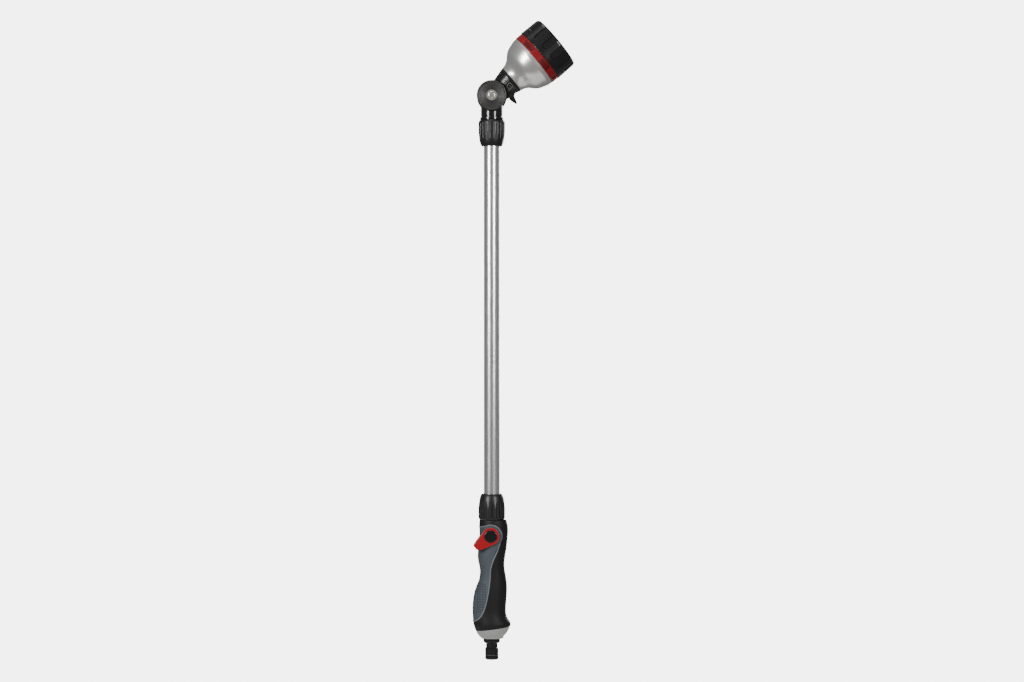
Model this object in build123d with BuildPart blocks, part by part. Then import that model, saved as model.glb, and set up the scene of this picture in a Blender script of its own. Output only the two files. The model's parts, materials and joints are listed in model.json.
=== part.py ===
from build123d import *

import os
from math import acos, atan2, cos, hypot, radians, sin

# A watering wand: a valve handle with a hose spigot, an aluminium tube, and a head that tilts and
# carries a seven-pattern dial. +Z runs up the tube, +X is the side that the head leans to, and the
# origin is the centre of the spigot's tip. Lengths are in millimetres and angles in degrees.
# "Front" is the -Y side. The handle's thumb side is -X, and its finger side is +X.

# ---------------------------------------------------------------- driving dimensions

running_gap = 0.08  # round a shaft or thread that turns in its hole
turning_gap = 0.3  # between other surfaces that move past each other
fixed_gap = 0.05  # between pieces that are fixed to each other
seam_gap = 0.3  # at an open seam between covers

# Hose spigot, which takes a push-on hose connector
spigot_radius = 8.0
spigot_bore = 4.5
spigot_nose = 1.8
spigot_wall_length = 13.6  # tip to the shoulder that the connector latches behind
spigot_neck_radius = 6.9
spigot_neck_length = 5.5
spigot_flange_radius = 9.9
spigot_length = 25.1  # tip to the end cap
spigot_shank_radius = 9.0
spigot_shank_length = 12.0
spigot_ring_height = 5.6  # centre of the O-ring above the tip
spigot_ring_section = 2.2
spigot_groove_depth = 2.0
spigot_groove_width = 2.8

# Inlet filter and washer
filter_radius = 6.4
filter_thickness = 1.0
filter_drop = 2.0  # below the shank's end
filter_hole_radius = 0.5
filter_hole_pitch = 1.7
washer_thickness = 2.0

# Handle: outside form, from the end cap's foot to the top of the grip
handle_length = 142.3
end_cap_height = 12.1  # foot to seam, on the tube's axis
end_cap_inset = 0.2
seam_slope = 7.5  # the seam rises towards the finger side
inlay_depth = 2.4
# share of the handle's length, reach to the thumb side, reach to the finger side, half thickness
grip_stations = [
    (0.000, 11.2, 11.2, 11.2),
    (0.018, 14.9, 14.7, 13.8),
    (0.040, 17.3, 17.3, 15.8),
    (0.070, 19.4, 20.0, 17.4),
    (0.100, 21.0, 21.9, 18.3),
    (0.124, 21.9, 22.7, 18.6),
    (0.148, 22.4, 21.5, 18.1),
    (0.175, 22.8, 18.9, 17.3),
    (0.205, 23.0, 17.4, 16.7),
    (0.260, 23.2, 17.0, 16.4),
    (0.330, 22.5, 17.7, 16.2),
    (0.410, 20.2, 18.4, 15.7),
    (0.470, 16.9, 18.1, 15.0),
    (0.520, 14.8, 17.1, 14.5),
    (0.565, 14.2, 16.0, 14.3),
    (0.615, 15.1, 15.2, 14.5),
    (0.690, 16.9, 16.1, 15.1),
    (0.780, 15.8, 18.1, 15.6),
    (0.880, 14.7, 19.5, 15.8),
    (0.955, 15.2, 19.2, 15.3),
    (1.000, 14.4, 17.8, 14.3),
]

# Core: the waterway that the grip is moulded round
core_radius = 9.8
core_inlet_radius = 11.8
core_inlet_length = 19.5
core_boss_radius = 10.0
core_shoulder_radius = 12.9
core_shoulder_length = 4.5
channel_radius = 4.5

# Thumb valve
lever_drop = 18.8  # hub centre below the top of the grip
lever_offset = -1.1  # hub centre from the tube's axis
cheek_reach = 15.2  # half the thickness across the flats beside the lever
lever_hub_radius = 10.4
lever_plate = 2.8
lever_tip_radius = 1.2
# centres of the round corners of the lever's tip, from the hub
lever_tip_points = [(-19.4, -11.0), (-15.9, -14.9), (-11.5, -14.8)]
lever_bar_inner = 19.0  # the thumb bar starts this far from the hub's centre
lever_ridges = 5  # grip grooves along the thumb's edge, from the tip
lever_ridge_pitch = 2.1
lever_ridge_radius = 0.8
lever_ridge_depth = 0.4
notch_margin = 0.5  # the notch that the bar swings in, beyond the bar
notch_low_angle = 226.0
notch_high_angle = 143.0
panel_arc_radius = 13.4  # the grey panel's edge round the hub
lever_cap_radius = 7.6
lever_cap_recess = 1.4
lever_cap_crown = 0.9
spindle_radius = 6.5
spindle_square = 8.0
spindle_port_radius = 2.6
throat_radius = 3.0  # the waterway where it meets the spindle
spindle_ring_reach = 10.5
spindle_ring_section = 1.8
lever_screw_radius = 1.5
lever_screw_head_radius = 2.8
lever_screw_head_height = 1.1
lever_screw_length = 7.0
valve_travel = 60.0  # lever and port turn this far from shut to open

# Tube, and the collar nut that grips each end of it
tube_radius = 9.5
tube_wall = 1.2
tube_showing = 417.0
tube_seat_depth = 25.0  # tube end inside the nut's narrow face
nut_length = 31.0
nut_radius = 16.0
nut_narrow_radius = 12.2
nut_wide_radius = 14.4
nut_shoulder = 3.2
nut_straight = 12.5  # height at which the barrel starts to narrow
nut_flutes = 22
flute_radius = 1.9
flute_depth = 1.1
thread_radius = 12.2
thread_length = 20.8
socket_rim_depth = 5.6
socket_rim_radius = 11.4
grip_ring_cone = 5.0
grip_ring_nose = 10.6
grip_ring_slit = 2.0

# Elbow that the head tilts on
pivot_rise = 29.2  # pivot above the upper nut's wide face
elbow_radius = 13.1
elbow_lip_radius = 14.0
elbow_lip_length = 3.4
elbow_groove_radius = 12.2
elbow_groove_length = 1.2
drum_radius = 16.4
drum_reach = 12.0
drum_chamber_radius = 9.5
drum_floor = 3.0
drum_post_radius = 4.0
drum_clear_radius = 19.5
drum_notches = 27
drum_notch_arc = 234.0
drum_notch_radius = 0.8
port_radius = 3.6
port_offset = 5.2
pivot_ring_radius = 11.8
pivot_ring_section = 1.6

# Pivot caps, screw, washer and nut
pivot_cap_radius = 18.0
pivot_cap_thickness = 3.6
pivot_cap_rim = 1.6
pivot_cap_dish = 0.7
pivot_cap_well = 6.9
pivot_cap_well_depth = 1.3
pivot_screw_radius = 2.0
pivot_screw_head_radius = 4.2
pivot_screw_head_height = 2.0
pivot_washer_radius = 6.4
pivot_washer_thickness = 0.8
pivot_nut_radius = 4.0
pivot_nut_height = 2.4

# Head, along its own axis from the pivot
head_lean = 50.0
neck_root_radius = 12.9  # at the pivot caps' edge
neck_root = 14.0
neck_tip_radius = 16.6
neck_flange_radius = 17.2
neck_flange_foot = 28.2
bell_foot = 31.0
neck_thread_radius = 11.9
neck_thread_length = 7.6
neck_bore = 8.4
gasket_thickness = 1.4
bell_foot_radius = 17.5
bell_rim_radius = 33.7
bell_rim = 66.0
bell_wall = 2.4
# radius and distance along the head's axis, for the bell's flare
bell_curve = [(18.6, 36.0), (20.6, 39.6), (26.4, 45.6), (29.7, 50.4), (33.0, 60.0)]

# Dial
ring_radius = 34.2
ring_length = 8.7
ring_wall = 2.6
dial_radius = 34.9
dial_length = 26.8
dial_wall = 4.8
dial_corner = 3.6
dial_flutes = 14
dial_flute_width = 7.4
dial_flute_depth = 1.8
dial_flute_length = 19.5
dial_flute_turn = 9.8
face_recess = 2.2
face_thickness = 2.4
pattern_count = 7
pattern_radius = 20.6
pattern_pad_radius = 5.6
pattern_pad_height = 0.9
plate_thickness = 2.4
plate_drop = 9.0  # pattern plate behind the face

# Distributor, the fixed plate inside the head
distributor_thickness = 4.0
distributor_drop = 5.0
distributor_hub_radius = 8.5
outlet_radius = 4.2
outlet_boss_radius = 6.2
outlet_seal_length = 4.0
dial_screw_radius = 2.4
dial_screw_head_radius = 5.0
dial_screw_head_height = 2.2
spring_wire = 0.4
detent_ball_radius = 1.8
detent_radius = 25.0

# Tilt lock under the neck
lock_pin_spot = (13.0, 18.6)  # across and along the head
lock_tip_spot = (25.8, 16.6)
lock_heel_spot = (17.6, 14.8)
lock_heel_radius = 1.6
lock_tip_radius = 1.1
lock_toe_angle = 52.0  # from the head's axis, about the pivot
lock_toe_radius = 0.9
lock_pin_radius = 1.2
lock_hub_radius = 3.0
lock_front = 8.0  # the lever lies between these distances in front of the middle plane
lock_back = 3.8
lock_toe_gap = 0.4
lock_slot_gap = 0.3
lock_coil_radius = 1.85
lock_coil_wire = 0.2
lock_coil_length = 2.0

# ---------------------------------------------------------------- places that follow

handle_foot = spigot_length
grip_top = handle_foot + handle_length
lever_height = grip_top - lever_drop
lower_nut_foot = grip_top + seam_gap
lower_nut_top = lower_nut_foot + nut_length
upper_nut_foot = lower_nut_top + tube_showing
upper_nut_top = upper_nut_foot + nut_length
tube_foot = lower_nut_top - tube_seat_depth
tube_top = upper_nut_foot + tube_seat_depth
pivot_height = upper_nut_top + pivot_rise
dial_foot = bell_rim + seam_gap + ring_length
dial_front = dial_foot + dial_length
face_front = dial_front - face_recess
plate_back = face_front - face_thickness - plate_drop

head_direction = (sin(radians(head_lean)), 0, cos(radians(head_lean)))
across_direction = (cos(radians(head_lean)), 0, -sin(radians(head_lean)))
pivot = (0, 0, pivot_height)

side = Plane.XZ  # x across, y up the tube, out of it to the front
pivot_side = Plane(origin=pivot, x_dir=(1, 0, 0), z_dir=(0, -1, 0))
head_side = Plane(origin=pivot, x_dir=across_direction, z_dir=(0, -1, 0))
head_end = Plane(origin=pivot, x_dir=across_direction, z_dir=head_direction)
head_axis = Axis(pivot, head_direction)
lever_side = Plane(origin=(lever_offset, 0, lever_height), x_dir=(1, 0, 0), z_dir=(0, -1, 0))

os.makedirs("parts", exist_ok=True)


def save(piece, name):
    """Labels a finished piece and writes it as its own STEP file."""
    piece.label = name
    export_step(piece, f"parts/{name}.step")


def turned(points, plane, axis):
    """A solid of revolution from a closed outline of (radius, distance) points."""
    with BuildPart() as made:
        with BuildSketch(plane):
            with BuildLine():
                Polyline(*points, close=True)
            make_face()
        revolve(axis=axis)
    return made.part


def sleeve(inner, outer, low, high, plane=side, axis=Axis.Z):
    """A plain ring or bush."""
    return turned([(inner, low), (outer, low), (outer, high), (inner, high)], plane, axis)


def coil(radius, wire, height, turns, foot):
    """A compression spring standing on the plane foot."""
    with BuildPart() as made:
        with BuildLine() as path:
            Helix(height / turns, height, radius, center=foot.origin, direction=foot.z_dir)
        with BuildSketch(Plane(origin=path.line @ 0, z_dir=path.line % 0)):
            Circle(wire)
        sweep(path=path.line)
    return made.part


# ---------------------------------------------------------------- handle: inlet end

shank_top = spigot_length + spigot_shank_length
groove_low = spigot_ring_height - spigot_groove_width / 2
groove_high = spigot_ring_height + spigot_groove_width / 2
groove_radius = spigot_radius - spigot_groove_depth
neck_top = spigot_wall_length + spigot_neck_length
flange_foot = neck_top + (spigot_flange_radius - spigot_neck_radius) * 0.7
filter_seat = shank_top - filter_drop

with BuildPart() as hose_spigot:
    with BuildSketch(side):
        with BuildLine():
            Polyline(
                (spigot_bore, 0),
                (spigot_radius, 0),
                (spigot_radius, groove_low),
                (groove_radius, groove_low),
                (groove_radius, groove_high),
                (spigot_radius, groove_high),
                (spigot_radius, spigot_wall_length),
                (spigot_neck_radius, spigot_wall_length + 1),
                (spigot_neck_radius, neck_top),
                (spigot_flange_radius, flange_foot),
                (spigot_flange_radius, spigot_length),
                (spigot_shank_radius, spigot_length),
                (spigot_shank_radius, shank_top),
                (filter_radius, shank_top),
                (filter_radius, filter_seat - filter_thickness),
                (spigot_bore, filter_seat - filter_thickness),
                close=True,
            )
        make_face()
    revolve(axis=Axis.Z)
    rims = hose_spigot.edges().filter_by(GeomType.CIRCLE)
    nose = rims.filter_by(lambda e: abs(e.radius - spigot_radius) < 0.01).sort_by(Axis.Z)[0]
    fillet(nose, spigot_nose)
    flange = hose_spigot.edges().filter_by(GeomType.CIRCLE)
    fillet(flange.filter_by(lambda e: abs(e.radius - spigot_flange_radius) < 0.01), 0.6)
save(hose_spigot.part, "hose_spigot")

with BuildPart(Plane.XY.offset(spigot_ring_height)) as spigot_o_ring:
    Torus(groove_radius + spigot_ring_section / 2, spigot_ring_section / 2)
save(spigot_o_ring.part, "spigot_o_ring")

with BuildPart() as inlet_filter:
    with BuildSketch(Plane.XY.offset(filter_seat)):
        Circle(filter_radius - fixed_gap)
        with HexLocations(filter_hole_pitch / 2, 7, 7) as spots:
            holes = [spot for spot in spots.locations if spot.position.length < spigot_bore]
        with Locations(*holes):
            Circle(filter_hole_radius, mode=Mode.SUBTRACT)
    extrude(amount=-filter_thickness)
save(inlet_filter.part, "inlet_filter")

washer_top = shank_top + washer_thickness
inlet_washer = sleeve(spigot_bore, spigot_shank_radius, shank_top, washer_top)
save(inlet_washer, "inlet_washer")

# ---------------------------------------------------------------- handle: core and valve bore

core_foot = spigot_length + fixed_gap
inlet_top = core_foot + core_inlet_length
shoulder_foot = grip_top - core_shoulder_length
thread_top = lower_nut_foot + thread_length


def core_outline(grow):
    """Outside of the core below its thread, grown by a gap for the grip that wraps it."""
    return [
        (0, core_foot - grow),
        (core_inlet_radius + grow, core_foot - grow),
        (core_inlet_radius + grow, inlet_top + grow),
        (core_radius + grow, inlet_top + grow + 2),
        (core_radius + grow, shoulder_foot - grow - 3),
        (core_shoulder_radius + grow, shoulder_foot - grow),
        (core_shoulder_radius + grow, grip_top),
        (0, grip_top),
    ]


def core_envelope(grow):
    """The core and its valve boss as one plain solid."""
    with BuildPart() as made:
        add(turned(core_outline(grow), side, Axis.Z))
        with BuildSketch(lever_side):
            Circle(core_boss_radius + grow)
        extrude(amount=cheek_reach + grow, both=True)
    return made.part


with BuildPart() as handle_core:
    add(core_envelope(0))
    add(sleeve(0, thread_radius, grip_top - 1, thread_top))
    socket = spigot_shank_radius + fixed_gap
    add(sleeve(0, socket, core_foot - 1, washer_top), mode=Mode.SUBTRACT)
    throat_low = lever_height - spindle_radius - 3
    throat_high = lever_height + spindle_radius + 3
    add(sleeve(0, channel_radius, washer_top - 1, throat_low), mode=Mode.SUBTRACT)
    add(sleeve(0, channel_radius, throat_high, tube_foot + 1), mode=Mode.SUBTRACT)
    with BuildSketch(Plane((lever_offset, 0, throat_low - 1))):
        Circle(throat_radius)
    extrude(amount=throat_high - throat_low + 2, mode=Mode.SUBTRACT)
    add(sleeve(0, tube_radius + fixed_gap, tube_foot, thread_top + 1), mode=Mode.SUBTRACT)
    rim_foot = thread_top - socket_rim_depth
    add(sleeve(0, socket_rim_radius, rim_foot, thread_top + 1), mode=Mode.SUBTRACT)
    with BuildSketch(lever_side):
        Circle(spindle_radius + running_gap)
    extrude(amount=cheek_reach + 1, both=True, mode=Mode.SUBTRACT)
save(handle_core.part, "handle_core")

# ---------------------------------------------------------------- handle: covers


def handle_form(inset):
    """The handle's outside, lofted through its stations and drawn in by inset."""
    with BuildPart() as made:
        for share, thumb, finger, half in grip_stations:
            with BuildSketch(Plane.XY.offset(handle_foot + share * handle_length)):
                with Locations(((finger - thumb) / 2, 0)):
                    Ellipse((finger + thumb) / 2 - inset, half - inset)
        loft()
    return made.part


seam_centre = (0, 0, handle_foot + end_cap_height)
seam_tangent = (cos(radians(seam_slope)), 0, sin(radians(seam_slope)))
seam_normal = (-sin(radians(seam_slope)), 0, cos(radians(seam_slope)))
seam = Plane(origin=seam_centre, x_dir=seam_tangent, z_dir=seam_normal)

outside = handle_form(0)

with BuildPart() as inlay_region:
    # the arc round the hub runs over its top, then the edge sweeps down to the thumb side
    with BuildSketch(lever_side):
        with BuildLine():
            over = CenterArc((0, 0), panel_arc_radius, -30, 145)
            top_edge = Line(over @ 1, (-30, 7.0))
            sweep_down = Spline(
                over @ 0,
                (2.6, -30.2),
                (-0.9, -52.2),
                (-3.4, -70.2),
                (-8.0, -88.2),
                (-15.0, -99.2),
                (-30.0, -106.2),
                tangents=[(-0.5, -0.866), (-1, -0.25)],
            )
            Line(sweep_down @ 1, top_edge @ 1)
        make_face()
    extrude(amount=30, both=True)

beyond = 30.0  # reach of cutting solids, past every surface


def lever_profile(grow):
    """The lever's cheek, the hub's circle and the tip's three rounded corners, grown by a margin."""
    with BuildSketch() as drawn:
        Circle(lever_hub_radius + grow)
        with Locations(*lever_tip_points):
            Circle(lever_tip_radius + grow)
        make_hull()
    return drawn.sketch


def ray_end(angle):
    """A far point in the lever's plane, in a direction from its hub."""
    return (60 * cos(radians(angle)), 60 * sin(radians(angle)))


with BuildPart() as lever_sweep:
    # the notch that the lever's bar swings in, and the flats that its cheeks turn on
    with BuildSketch(lever_side):
        with BuildLine():
            Polyline((0, 0), ray_end(notch_low_angle), (-80, 0), ray_end(notch_high_angle), close=True)
        make_face()
        add(lever_profile(notch_margin))
        Circle(lever_bar_inner - notch_margin, mode=Mode.SUBTRACT)
    extrude(amount=beyond, both=True)
    for turn in (1, -1):
        with BuildSketch(lever_side.offset(turn * cheek_reach)):
            add(lever_profile(notch_margin))
        extrude(amount=turn * beyond)

with BuildPart() as end_cap:
    add(handle_form(end_cap_inset))
    split(bisect_by=seam, keep=Keep.BOTTOM)
    add(core_envelope(fixed_gap), mode=Mode.SUBTRACT)
    add(sleeve(0, spigot_flange_radius - 1, 0, handle_foot + 2), mode=Mode.SUBTRACT)
save(end_cap.part, "end_cap")

with BuildPart() as grip_inlay:
    add(outside)
    add(handle_form(inlay_depth), mode=Mode.SUBTRACT)
    add(inlay_region.part, mode=Mode.INTERSECT)
    split(bisect_by=seam.offset(seam_gap), keep=Keep.TOP)
    add(lever_sweep.part, mode=Mode.SUBTRACT)
    add(core_envelope(fixed_gap), mode=Mode.SUBTRACT)
save(grip_inlay.part, "grip_inlay")

with BuildPart() as grip_shell:
    add(outside)
    split(bisect_by=seam.offset(seam_gap), keep=Keep.TOP)
    add(lever_sweep.part, mode=Mode.SUBTRACT)
    add(core_envelope(fixed_gap), mode=Mode.SUBTRACT)
    add(grip_inlay.part, mode=Mode.SUBTRACT)
save(grip_shell.part, "grip_shell")

# ---------------------------------------------------------------- thumb valve

plate_foot = cheek_reach + turning_gap
plate_face = plate_foot + lever_plate
cap_floor = plate_face - lever_cap_recess

# The thumb's edge touches the hub's circle and the outermost round corner of the tip.
corner_x, corner_y = lever_tip_points[0]
edge_turn = acos((lever_hub_radius - lever_tip_radius) / hypot(corner_x, corner_y))
edge_out = atan2(corner_y, corner_x) - edge_turn
ridge_out = lever_tip_radius + lever_ridge_radius - lever_ridge_depth
thumb_ridges = [
    (
        corner_x + ridge_out * cos(edge_out) + (number + 0.5) * lever_ridge_pitch * sin(edge_out),
        corner_y + ridge_out * sin(edge_out) - (number + 0.5) * lever_ridge_pitch * cos(edge_out),
    )
    for number in range(lever_ridges)
]

with BuildPart() as thumb_lever:
    with BuildSketch(lever_side):
        add(lever_profile(0))
    extrude(amount=plate_face, both=True)
    with BuildSketch(lever_side):
        Circle(lever_bar_inner)
    extrude(amount=plate_foot, both=True, mode=Mode.SUBTRACT)
    outer_rims = thumb_lever.faces().filter_by(Axis.Y).sort_by(Axis.Y)
    fillet([*outer_rims[0].edges(), *outer_rims[-1].edges()], 0.7)
    for turn in (1, -1):
        with BuildSketch(lever_side.offset(turn * plate_face)):
            Circle(lever_cap_radius + fixed_gap)
        extrude(amount=-turn * lever_cap_recess, mode=Mode.SUBTRACT)
    with BuildSketch(lever_side):
        Rectangle(spindle_square + 2 * fixed_gap, spindle_square + 2 * fixed_gap)
    extrude(amount=plate_face, both=True, mode=Mode.SUBTRACT)
    with BuildSketch(lever_side):
        with Locations(*thumb_ridges):
            Circle(lever_ridge_radius)
    extrude(amount=plate_face + 1, both=True, mode=Mode.SUBTRACT)
save(thumb_lever.part, "thumb_lever")

with BuildPart() as valve_spindle:
    with BuildSketch(lever_side):
        Circle(spindle_radius)
    extrude(amount=cheek_reach, both=True)
    with BuildSketch(lever_side):
        Rectangle(spindle_square, spindle_square)
    extrude(amount=cap_floor, both=True)
    port = Plane(
        origin=(lever_offset, 0, lever_height),
        z_dir=(sin(radians(valve_travel)), 0, cos(radians(valve_travel))),
    )
    with BuildSketch(port):
        Circle(spindle_port_radius)
    extrude(amount=spindle_radius + 1, both=True, mode=Mode.SUBTRACT)
    for turn in (1, -1):
        groove_depth = spindle_ring_section - fixed_gap
        with BuildSketch(lever_side.offset(turn * spindle_ring_reach)):
            Circle(spindle_radius)
            Circle(spindle_radius - groove_depth, mode=Mode.SUBTRACT)
        extrude(amount=spindle_ring_section * 0.6, both=True, mode=Mode.SUBTRACT)
        with BuildSketch(lever_side.offset(turn * cap_floor)):
            Circle(lever_screw_radius)
        extrude(amount=-turn * (lever_screw_length + 1), mode=Mode.SUBTRACT)
save(valve_spindle.part, "valve_spindle")

spindle_ring_radius = spindle_radius - groove_depth + spindle_ring_section / 2
for turn, name in ((1, "valve_o_ring_front"), (-1, "valve_o_ring_back")):
    with BuildPart(lever_side.offset(turn * spindle_ring_reach)) as valve_o_ring:
        Torus(spindle_ring_radius, spindle_ring_section / 2)
    save(valve_o_ring.part, name)

# A screw holds each cheek on the spindle, and a cap hides its head.
screw_seat = cap_floor
for turn, name in ((1, "front"), (-1, "back")):
    with BuildPart() as lever_screw:
        with BuildSketch(lever_side.offset(turn * screw_seat)):
            Circle(lever_screw_head_radius)
            RegularPolygon(1.2, 6, mode=Mode.SUBTRACT)
        extrude(amount=turn * lever_screw_head_height)
        with BuildSketch(lever_side.offset(turn * screw_seat)):
            Circle(lever_screw_radius)
        extrude(amount=-turn * lever_screw_length)
    save(lever_screw.part, f"lever_screw_{name}")

    with BuildPart() as lever_cap:
        with BuildSketch(lever_side.offset(turn * (cap_floor + fixed_gap))):
            Circle(lever_cap_radius)
        extrude(amount=turn * (lever_cap_recess + lever_cap_crown))
        crown = lever_cap.faces().sort_by(Axis.Y)[0 if turn == 1 else -1]
        fillet(crown.edges(), 0.8)
        with BuildSketch(lever_side.offset(turn * cap_floor)):
            Circle(lever_screw_head_radius + turning_gap)
        extrude(amount=turn * (lever_screw_head_height + 2 * fixed_gap), mode=Mode.SUBTRACT)
    save(lever_cap.part, f"lever_cap_{name}")

# ---------------------------------------------------------------- tube and collar nuts

tube = sleeve(tube_radius - tube_wall, tube_radius, tube_foot, tube_top)
save(tube, "tube")


def collar_nut(foot, up):
    """A fluted nut whose wide face is at foot, narrowing in the direction up (+1 or -1)."""
    base = Plane(origin=(0, 0, foot), x_dir=(1, 0, 0), z_dir=(0, 0, up))
    section = Plane(origin=(0, 0, foot), x_dir=(1, 0, 0), z_dir=(0, -up, 0))
    thread_bore = thread_radius + running_gap
    cone_foot = thread_length + turning_gap
    cone_top = cone_foot + grip_ring_cone
    with BuildPart() as made:
        with BuildSketch(section):
            with BuildLine():
                round_in = ThreePointArc(
                    (nut_wide_radius, 0),
                    (nut_radius - 0.45, nut_shoulder * 0.45),
                    (nut_radius, nut_shoulder),
                )
                barrel = Line(round_in @ 1, (nut_radius, nut_straight))
                taper = Spline(
                    barrel @ 1,
                    (nut_radius - 0.9, nut_straight + 9),
                    (nut_narrow_radius, nut_length),
                    tangents=[(0, 1), (-0.6, 0.8)],
                )
                Polyline(
                    taper @ 1,
                    (tube_radius + turning_gap, nut_length),
                    (tube_radius + turning_gap, cone_top),
                    (grip_ring_nose + turning_gap, cone_top),
                    (thread_bore - 0.6, cone_foot),
                    (thread_bore, cone_foot),
                    (thread_bore, 0),
                    round_in @ 0,
                )
            make_face()
        revolve(axis=Axis.Z)
        with BuildSketch(base.offset(nut_shoulder)):
            with PolarLocations(nut_radius + flute_radius - flute_depth, nut_flutes):
                Circle(flute_radius)
        extrude(amount=nut_length, mode=Mode.SUBTRACT)
        narrow_rim = made.edges().group_by(Axis.Z)[-1 if up > 0 else 0].sort_by(SortBy.LENGTH)[-1]
        fillet(narrow_rim, 0.5)
    return made.part


def grip_ring(foot, up):
    """A split ring with a cone for nose; foot is the plane of the thread's end face."""
    section = Plane(origin=(0, 0, foot), x_dir=(1, 0, 0), z_dir=(0, -up, 0))
    with BuildPart() as made:
        with BuildSketch(section):
            with BuildLine():
                Polyline(
                    (tube_radius + fixed_gap, -ring_seat),
                    (socket_rim_radius - fixed_gap, -ring_seat),
                    (socket_rim_radius - fixed_gap, turning_gap),
                    (grip_ring_nose, grip_ring_cone),
                    (tube_radius + fixed_gap, grip_ring_cone),
                    close=True,
                )
            make_face()
        revolve(axis=Axis.Z)
        with Locations((grip_ring_nose, 0, foot)):
            Box(grip_ring_nose, grip_ring_slit, 4 * grip_ring_cone, mode=Mode.SUBTRACT)
    return made.part


seal_section = socket_rim_radius - tube_radius
ring_seat = socket_rim_depth - seal_section - fixed_gap
for name, foot, up, thread_end in (
    ("lower", lower_nut_foot, 1, lower_nut_foot + thread_length),
    ("upper", upper_nut_top, -1, upper_nut_top - thread_length),
):
    save(collar_nut(foot, up), f"{name}_collar_nut")
    save(grip_ring(thread_end, up), f"{name}_grip_ring")
    seal_height = thread_end - up * (socket_rim_depth - seal_section / 2)
    with BuildPart(Plane.XY.offset(seal_height)) as tube_seal:
        Torus(tube_radius + seal_section / 2, seal_section / 2)
    save(tube_seal.part, f"{name}_tube_seal")

# ---------------------------------------------------------------- elbow


def pivot_drum(radius, low, high):
    """A solid drum about the pivot, from low to high along +Y."""
    with BuildPart() as made:
        with BuildSketch(pivot_side.offset(-low)):
            Circle(radius)
        extrude(amount=low - high)
    return made.part


thread_foot = upper_nut_top - thread_length
lip_foot = upper_nut_top + turning_gap
lip_top = lip_foot + elbow_lip_length
groove_top = lip_top + elbow_groove_length
screw_bore = pivot_screw_radius + running_gap

with BuildPart() as elbow:
    add(sleeve(0, thread_radius, thread_foot, lip_foot + 1))
    add(sleeve(0, elbow_lip_radius, lip_foot, lip_top))
    add(sleeve(0, elbow_groove_radius, lip_top - 1, groove_top + 1))
    add(sleeve(0, elbow_radius, groove_top, pivot_height))
    lip_edges = elbow.edges().filter_by(GeomType.CIRCLE)
    fillet(lip_edges.filter_by(lambda e: abs(e.radius - elbow_lip_radius) < 0.01), 0.6)
    add(pivot_drum(drum_clear_radius, -turning_gap / 2, 40), mode=Mode.SUBTRACT)
    add(pivot_drum(drum_clear_radius, -40, -drum_reach), mode=Mode.SUBTRACT)
    add(pivot_drum(drum_radius, -drum_reach, -turning_gap / 2))
    with BuildSketch(pivot_side.offset(lock_back - turning_gap)):
        with PolarLocations(drum_radius, drum_notches, (180 - drum_notch_arc) / 2, drum_notch_arc):
            Circle(drum_notch_radius)
    extrude(amount=lock_front - lock_back + 2 * turning_gap, mode=Mode.SUBTRACT)
    # waterway: tube socket, port up the neck, chamber round the post
    add(sleeve(0, socket_rim_radius, thread_foot - 1, thread_foot + socket_rim_depth), mode=Mode.SUBTRACT)
    add(sleeve(0, tube_radius + fixed_gap, thread_foot - 1, tube_top), mode=Mode.SUBTRACT)
    add(sleeve(0, tube_radius - tube_wall, tube_top - 1, tube_top + 3), mode=Mode.SUBTRACT)
    add(pivot_drum(drum_chamber_radius, drum_floor - drum_reach, 1), mode=Mode.SUBTRACT)
    with BuildSketch(Plane((0, -port_offset, tube_top + 2))):
        Circle(port_radius)
    extrude(amount=pivot_height - tube_top - drum_post_radius - 3, mode=Mode.SUBTRACT)
    add(pivot_drum(drum_post_radius, drum_floor - drum_reach - 1, -turning_gap / 2))
    add(pivot_drum(screw_bore, -40, 1), mode=Mode.SUBTRACT)
    ring_groove = pivot_drum(pivot_ring_radius + pivot_ring_section / 2, -pivot_ring_section, 1)
    ring_core = pivot_drum(pivot_ring_radius - pivot_ring_section / 2, -pivot_ring_section, 1)
    add(ring_groove - ring_core, mode=Mode.SUBTRACT)
save(elbow.part, "elbow")

with BuildPart(pivot_side.offset((turning_gap + pivot_ring_section * 0.9) / 2)) as pivot_o_ring:
    Torus(pivot_ring_radius, pivot_ring_section * 0.45)
save(pivot_o_ring.part, "pivot_o_ring")

# ---------------------------------------------------------------- pivot fastening

well_floor = drum_reach + fixed_gap + pivot_cap_thickness - pivot_cap_well_depth
for turn, name in ((1, "front"), (-1, "back")):
    outline = [
        (screw_bore, drum_reach + fixed_gap),
        (pivot_cap_radius - pivot_cap_rim, drum_reach + fixed_gap),
        (pivot_cap_radius, drum_reach + fixed_gap + 0.8),
        (pivot_cap_radius, well_floor + pivot_cap_well_depth - 0.6),
        (pivot_cap_radius - 0.6, well_floor + pivot_cap_well_depth),
        (pivot_cap_radius - pivot_cap_rim, well_floor + pivot_cap_well_depth),
        (pivot_cap_radius - pivot_cap_rim - 0.6, well_floor + pivot_cap_well_depth - pivot_cap_dish),
        (pivot_cap_well, well_floor + pivot_cap_well_depth - pivot_cap_dish),
        (pivot_cap_well, well_floor),
        (screw_bore, well_floor),
    ]
    section = [(x, -turn * y) for x, y in outline]
    cap_plane = Plane(origin=pivot, x_dir=(1, 0, 0), z_dir=(0, 0, 1))
    pivot_cap = turned(section, cap_plane, Axis(pivot, (0, 1, 0)))
    save(pivot_cap, f"pivot_cap_{name}")

washer_face = well_floor + pivot_washer_thickness
for turn, name, seat in ((1, "front", well_floor), (-1, "back", well_floor + turning_gap)):
    with BuildPart() as pivot_washer:
        with BuildSketch(pivot_side.offset(turn * seat)):
            Circle(pivot_washer_radius)
            Circle(screw_bore, mode=Mode.SUBTRACT)
        extrude(amount=turn * pivot_washer_thickness)
    save(pivot_washer.part, f"pivot_washer_{name}")

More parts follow.
